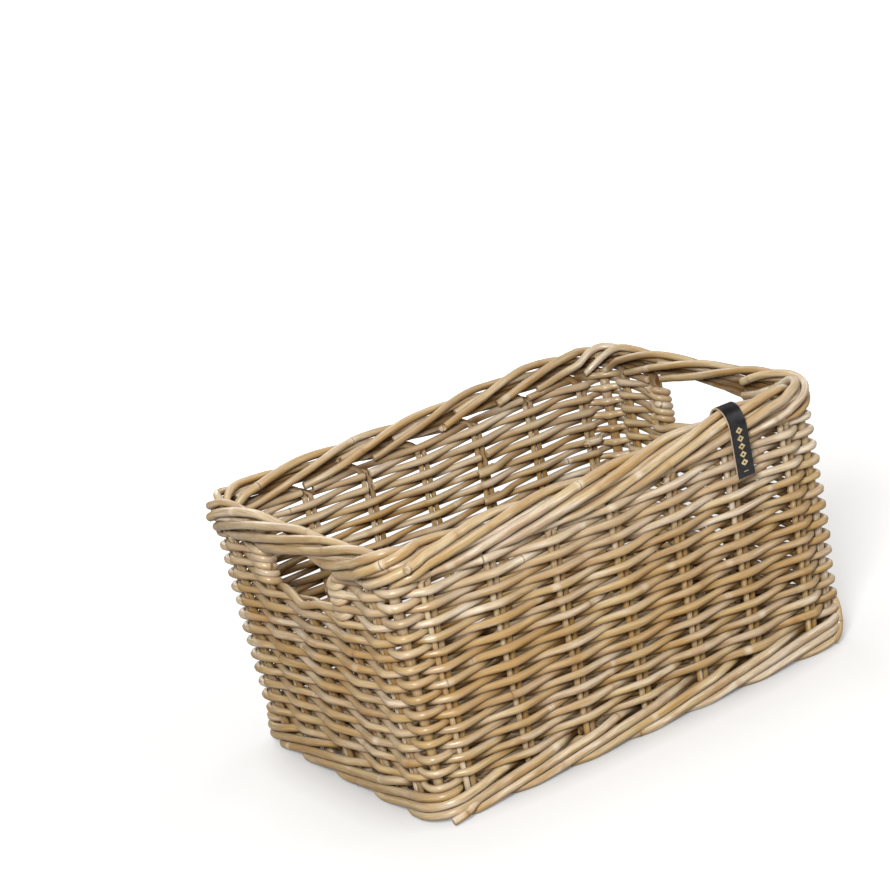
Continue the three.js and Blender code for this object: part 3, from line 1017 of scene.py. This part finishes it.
def footLine(row, start, end):
    line, squeeze, cover = [], [], []
    for s in stretchOf(start - foot["before"], end + foot["after"]):
        index = math.floor(s)

        def reach(station):
            outside = (paceAt(station) + row) % foot["cycle"] >= 1
            return (1 if outside else -1) * (stakeHalf(station) + foot["radius"])
        leave = easeFrom(s - end, foot["tuckFrom"], foot["tuckWidth"])
        offset = lerp(reach(index), reach(index + 1), ease(s - index)) - foot["tuck"] * leave
        passed = paceAt(s) + row
        point, out, _heading = spot(s, levels["base"], offset)
        # painted shade on the side that faces the wall's middle
        cover.append(out * (-offset * weaver["cover"]))
        point.z = softened(footHeight, passed, foot["soft"])
        line.append(point)
        slim = bell(passed % foot["cycle"] - foot["slimAt"], foot["slimWidth"])
        squeeze.append(lerp(1, foot["slim"], slim))
    return line, squeeze, cover


# a rod's end turned out at the front left corner, and a loop round the front right one, each place given by
# its stake count, height and outset
footHook = [(1.15, 0.0125, 0.003), (0.85, 0.0115, 0.0085), (0.58, 0.0085, 0.0125), (0.36, 0.0062, 0.0155),
            (0.22, 0.0052, 0.0185)]
footLoop = [(7.55, 0.006, 0.0105), (7.8, 0.012, 0.0115), (7.97, 0.022, 0.0115), (8.05, 0.034, 0.0105),
            (8.12, 0.043, 0.0075), (8.22, 0.044, 0.0020), (8.4, 0.040, -0.0060)]
for row in range(foot["cycle"]):
    rng = random.Random(seeds["foot"] + row)
    # a rod runs from every second stake that the strand passes inside
    insides = [k for k in range(rounds) if (paceAt(k) + row) % foot["cycle"] == 0]
    cuts = insides[row % 2::2]
    rods = []
    for a, b in zip(cuts, cuts[1:] + [cuts[0] + rounds]):
        line, squeeze, cover = footLine(row, a, b)
        radius = foot["radius"] * rng.uniform(*foot["range"])
        rods.append(makeRod(line, radius, rng, "rim", squeeze, wander=foot["wander"], cover=cover))
    if row == 0:
        for places, finish in ((footHook, 1), (footLoop, 3)):
            line = smoothLine([spot(s, z, outset)[0] for s, z, outset in places])
            rods.append(makeRod(line, foot["hook"], rng, finish=finish, wander=foot["hookWander"]))
    rodPiece("foot_strands_%d" % (row + 1), rods, slotOrder[row], ["foot_wale_%d" % (row + 1)])
print("foot made")

# Base: rods to and fro over and under the cross stakes, turned round the outer ones
base = {
    "radius": 0.0036, "gap": 0.0002, "rows": 41, "pitch": 0.0077, "overhang": 0.0185, "endHeight": 0.4,
    "endWidth": 0.02, "pieces": 11, "steps": 120, "turnSteps": 8, "wander": 0.5, "shade": 0.1,
}
base["crossings"] = [place * placeShrink(levels["base"], 0) for place in longPlaces]


def baseHeight(x, row):
    crossings = base["crossings"]
    reach = stakeSize["radius"] + base["radius"] + base["gap"]
    signs = [1 if (k + row) % 2 else -1 for k in range(len(crossings))]
    past = abs(x) - crossings[-1]
    if past > 0:
        return -signs[-1 if x > 0 else 0] * reach * lerp(1, base["endHeight"], ease(past / base["endWidth"]))
    k, share = placeIn(crossings, x)
    return -lerp(*signs[k:k + 2], ease(share)) * reach


def baseLine():
    end = base["crossings"][-1] + base["overhang"] - base["pitch"] / 2
    line = []
    for row in range(base["rows"]):
        y = (row - (base["rows"] - 1) / 2) * base["pitch"]
        xs = [lerp(-end, end, k / base["steps"]) for k in range(base["steps"] + 1)]
        if row % 2:
            xs = xs[::-1]
        line += [Vector((x, y, levels["base"] + baseHeight(x, row))) for x in xs]
        if row < base["rows"] - 1:
            side = 1 if row % 2 == 0 else -1
            half = base["pitch"] / 2
            z0 = levels["base"] + baseHeight(end * side, row)
            z1 = levels["base"] + baseHeight(end * side, row + 1)
            for k in range(1, base["turnSteps"]):
                share = k / base["turnSteps"]
                x = side * (end + half * math.sin(math.pi * share))
                line.append(Vector((x, y + half * (1 - math.cos(math.pi * share)), lerp(z0, z1, share))))
    return line


rng = random.Random(seeds["base"])
whole = baseLine()
ends = [round(k * (len(whole) - 1) / base["pieces"]) for k in range(base["pieces"] + 1)]
rods = [makeRod(whole[a:b], base["radius"], rng, "base", wander=base["wander"], shade=base["shade"])
        for a, b in zip(ends, ends[1:])]
rodPiece("base_weave", rods, "rattan_tan", ["base_weaver"])
print("base woven")

# Leather tab: a strap folded over the rim, black with a raw tan edge
tab = {
    "station": 6, "width": 0.0196, "thickness": 0.0022, "low": 0.1995, "innerLow": 0.2335,
    "halfWidth": 0.0146, "halfHeight": 0.0203, "rounding": 0.0004, "aside": 0.0055,
    "tuck": 0.0012,      # how far each end leans towards the wall
    "steps": (14, 44, 6), "belowRim": 0.004, "across": 8, "bevelAngle": math.radians(50),
    "motifFrom": 0.010, "motifStep": 0.0078, "motifs": 5, "motifHalf": (0.0041, 0.0034),
    "motifInside": 0.36, "bar": (0.0050, 0.0058), "barHalf": 0.0026,
}


# outset and height along the strap, from its outer end over the rim to its inner end
def tabLine():
    outer, over, inner = tab["steps"]
    line = []
    for k in range(outer):
        z = lerp(tab["low"], rim["middle"] - tab["belowRim"], k / outer)
        line.append((rim["outset"] + tab["halfWidth"] - tab["tuck"] * (1 - k / outer), z))
    for k in range(over + 1):
        angle = math.pi * k / over
        outset = rim["outset"] + math.cos(angle) * tab["halfWidth"]
        line.append((outset, rim["middle"] + math.sin(angle) * tab["halfHeight"]))
    for k in range(1, inner + 1):
        outset = rim["outset"] - tab["halfWidth"] + tab["tuck"] * k / inner
        line.append((outset, lerp(rim["middle"], tab["innerLow"], k / inner)))
    return line


blackTones = [(0.3, (0.005, 0.005, 0.006)), (0.7, (0.016, 0.016, 0.019))]
goldTones = [(0.3, (0.40, 0.29, 0.13)), (0.7, (0.62, 0.49, 0.27))]
edgeTones = [(0.3, (0.34, 0.24, 0.16)), (0.7, (0.58, 0.44, 0.31))]
leatherLook = {"scale": 160, "pebble": 1100, "roughness": (0, 1, 0.26, 0.42), "relief": 0.2}
edgeLook = {"scale": 900, "roughness": 0.75, "relief": 0.4}
grainDepth = 0.0001


# a leather's tree with a cloudy noise on it, and a way to give it a relief
def leatherTree(name, look):
    material, tree, skin = newSkin(name)
    place = node(tree, "TexCoord").outputs["Object"]
    cloud = node(tree, "TexNoise", Scale=look["scale"], Detail=4)
    tree.links.new(place, cloud.inputs["Vector"])

    def raiseBy(height):
        bump = node(tree, "Bump", Strength=look["relief"], Distance=grainDepth)
        tree.links.new(height, bump.inputs["Height"])
        tree.links.new(bump.outputs["Normal"], skin.inputs["Normal"])
    return material, tree, skin, place, cloud.outputs["Fac"], raiseBy


# black leather with a printed row of small diamonds and a short bar
def leatherMaterial():
    material, tree, skin, place, cloud, raiseBy = leatherTree("blackLeather", leatherLook)
    join, mixed, mapped, maths = toolsFor(tree)

    def between(value, low, high):
        return maths("MULTIPLY", maths("GREATER_THAN", value, low), maths("LESS_THAN", value, high))

    printed = node(tree, "Attribute", attribute_name="print")
    axes = node(tree, "SeparateXYZ")
    join(printed.outputs["Vector"], axes.inputs[0])
    aside = maths("ABSOLUTE", axes.outputs[0])
    along = axes.outputs[1]
    motifEnd = tab["motifFrom"] + tab["motifs"] * tab["motifStep"]
    wide, high = tab["motifHalf"]
    row = maths("MODULO", maths("SUBTRACT", along, tab["motifFrom"]), tab["motifStep"])
    row = maths("ABSOLUTE", maths("SUBTRACT", row, tab["motifStep"] / 2))
    away = maths("ADD", maths("DIVIDE", aside, wide), maths("DIVIDE", row, high))
    outline = between(away, tab["motifInside"], 1.0)
    diamond = maths("MULTIPLY", outline, between(along, tab["motifFrom"], motifEnd))
    bar = maths("MULTIPLY", maths("LESS_THAN", aside, tab["barHalf"]), between(along, *tab["bar"]))
    color = mixed(ramp(tree, blackTones, cloud), ramp(tree, goldTones, cloud), maths("MAXIMUM", diamond, bar))
    join(color, skin.inputs["Base Color"])
    join(mapped(cloud, *leatherLook["roughness"]), skin.inputs["Roughness"])
    pebble = node(tree, "TexVoronoi", Scale=leatherLook["pebble"])
    join(place, pebble.inputs["Vector"])
    raiseBy(pebble.outputs["Distance"])
    return material


def edgeMaterial():
    material, tree, skin, _place, cloud, raiseBy = leatherTree("rawLeatherEdge", edgeLook)
    skin.inputs["Roughness"].default_value = edgeLook["roughness"]
    tree.links.new(ramp(tree, edgeTones, cloud), skin.inputs["Base Color"])
    raiseBy(cloud)
    return material


line = tabLine()
shape = bmesh.new()
bmesh.ops.create_grid(shape, x_segments=tab["across"], y_segments=len(line) - 1, size=0.5)
printed = shape.verts.layers.float_vector.new("print")
lengths = [0.0]
for (x0, z0), (x1, z1) in zip(line, line[1:]):
    lengths.append(lengths[-1] + math.hypot(x1 - x0, z1 - z0))
for vert in shape.verts:
    k = round((vert.co.y + 0.5) * (len(line) - 1))
    aside = vert.co.x * tab["width"]
    outset, z = line[k]
    point, _out, heading = spot(tab["station"], wall["height"], outset)
    vert[printed] = (aside, lengths[k], 0)
    vert.co = settle(Vector((point.x, point.y, z)) + heading * (aside + tab["aside"]))
bmesh.ops.recalc_face_normals(shape, faces=shape.faces)
mesh = bpy.data.meshes.new("tab_strap")
shape.to_mesh(mesh)
shape.free()
mesh.materials.append(leatherMaterial())
mesh.materials.append(edgeMaterial())
mesh.shade_smooth()
strap = pieceOf(mesh, "leather", ["rim_tab"])
setAll(strap.modifiers.new("thickness", "SOLIDIFY"), thickness=tab["thickness"], offset=0,
       material_offset_rim=1)
setAll(strap.modifiers.new("edges", "BEVEL"), width=tab["rounding"], segments=2, limit_method="ANGLE",
       angle_limit=tab["bevelAngle"])
print("tab made")

# Floor, light and camera
view = {
    "place": (-1.132277, -1.968098, 0.936081),
    "axes": ((0.82968356, -0.51934318, -0.20471407), (0.31864617, 0.13949379, 0.93755325),
             (-0.45835555, -0.84310387, 0.28122242)),   # right, up and back
    "focalPixels": 2460.2887,
    "pixels": 890,
    "sensor": 36,
}
camera = added("camera", bpy.data.cameras.new("camera"))
camera.data.lens = view["focalPixels"] / view["pixels"] * view["sensor"]
camera.data.sensor_width = view["sensor"]
camera.matrix_world = Matrix.Translation(view["place"]) @ Matrix(view["axes"]).transposed().to_4x4()
scene.camera = camera

# a grey floor that glows white to the camera, less close to the basket, where its real shadow shows under a
# painted one
floorLook = {
    "size": 40,
    "inputs": {"Base Color": (0.55, 0.55, 0.55, 1), "Roughness": 0.9, "Specular IOR Level": 0.1,
               "Emission Color": (1, 1, 1, 1)},
    "shrink": (1 / 0.245, 1 / 0.175, 0),   # the basket's half length and half depth become 1
    "reach": 0.02,
    "glow": ((0.014, 0.0), (0.026, 0.40), (0.3, 0.6), (1.0, 1.0)),
}
shape = bmesh.new()
bmesh.ops.create_grid(shape, x_segments=1, y_segments=1, size=floorLook["size"])
floorMesh = bpy.data.meshes.new("floor")
shape.to_mesh(floorMesh)
shape.free()
added("floor", floorMesh)
floorSkin, tree, skin = newSkin("paleFloor")
for label, value in floorLook["inputs"].items():
    skin.inputs[label].default_value = value
join, _mixed, _mapped, maths = toolsFor(tree)


def vectorMaths(operation, a, b=None):
    made = node(tree, "VectorMath", operation=operation)
    join(a, made.inputs[0])
    if isinstance(b, tuple):
        made.inputs[1].default_value = b
    elif b is not None:
        join(b, made.inputs[1])
    return made.outputs["Value" if operation == "LENGTH" else "Vector"]


shrunk = vectorMaths("MULTIPLY", node(tree, "TexCoord").outputs["Object"], floorLook["shrink"])
away = maths("MULTIPLY", vectorMaths("LENGTH", vectorMaths("MULTIPLY", shrunk, shrunk)), floorLook["reach"])
# painted shadow: the glow is weaker close to the basket
fade = ramp(tree, [(where, (light,) * 3) for where, light in floorLook["glow"]], away, "LINEAR")
seen = node(tree, "LightPath").outputs["Is Camera Ray"]
join(maths("MULTIPLY", seen, fade), skin.inputs["Emission Strength"])
floorMesh.materials.append(floorSkin)

lampAim = Vector((0, 0, 0.12))
lamps = {
    "key": {"place": (-1.6, -2.0, 1.7), "size": 0.7, "power": 96},
    "side": {"place": (2.0, -1.6, 1.2), "size": 1.4, "power": 12},
    "top": {"place": (0.1, 0.2, 2.6), "size": 1.2, "power": 11},
    "behind": {"place": (0.4, 2.4, 1.5), "size": 1.6, "power": 26},
    "far": {"place": (2.3, 0.9, 1.2), "size": 1.4, "power": 14},
}
for name, lamp in lamps.items():
    light = bpy.data.lights.new(name, "AREA")
    setAll(light, size=lamp["size"], energy=lamp["power"])
    holder = added(name, light)
    holder.location = lamp["place"]
    holder.rotation_euler = (lampAim - Vector(lamp["place"])).to_track_quat("-Z", "Y").to_euler()

# a room that is white to the camera, and dim and warm on the basket
roomLook = {"warm": (1.0, 0.88, 0.70), "white": (1.0, 1.0, 1.0), "strength": (0, 1, 0.17, 1.0)}
world = bpy.data.worlds.new("paleRoom")
scene.world = world
world.use_nodes = True
tree = world.node_tree
background = tree.nodes["Background"]
join, _mixed, mapped, _maths = toolsFor(tree)
seen = node(tree, "LightPath").outputs["Is Camera Ray"]
warmth = ramp(tree, [(0.0, roomLook["warm"]), (1.0, roomLook["white"])], seen)
join(warmth, background.inputs["Color"])
join(mapped(seen, *roomLook["strength"]), background.inputs["Strength"])
scene.view_settings.view_transform = "Standard"

print("scene finished")
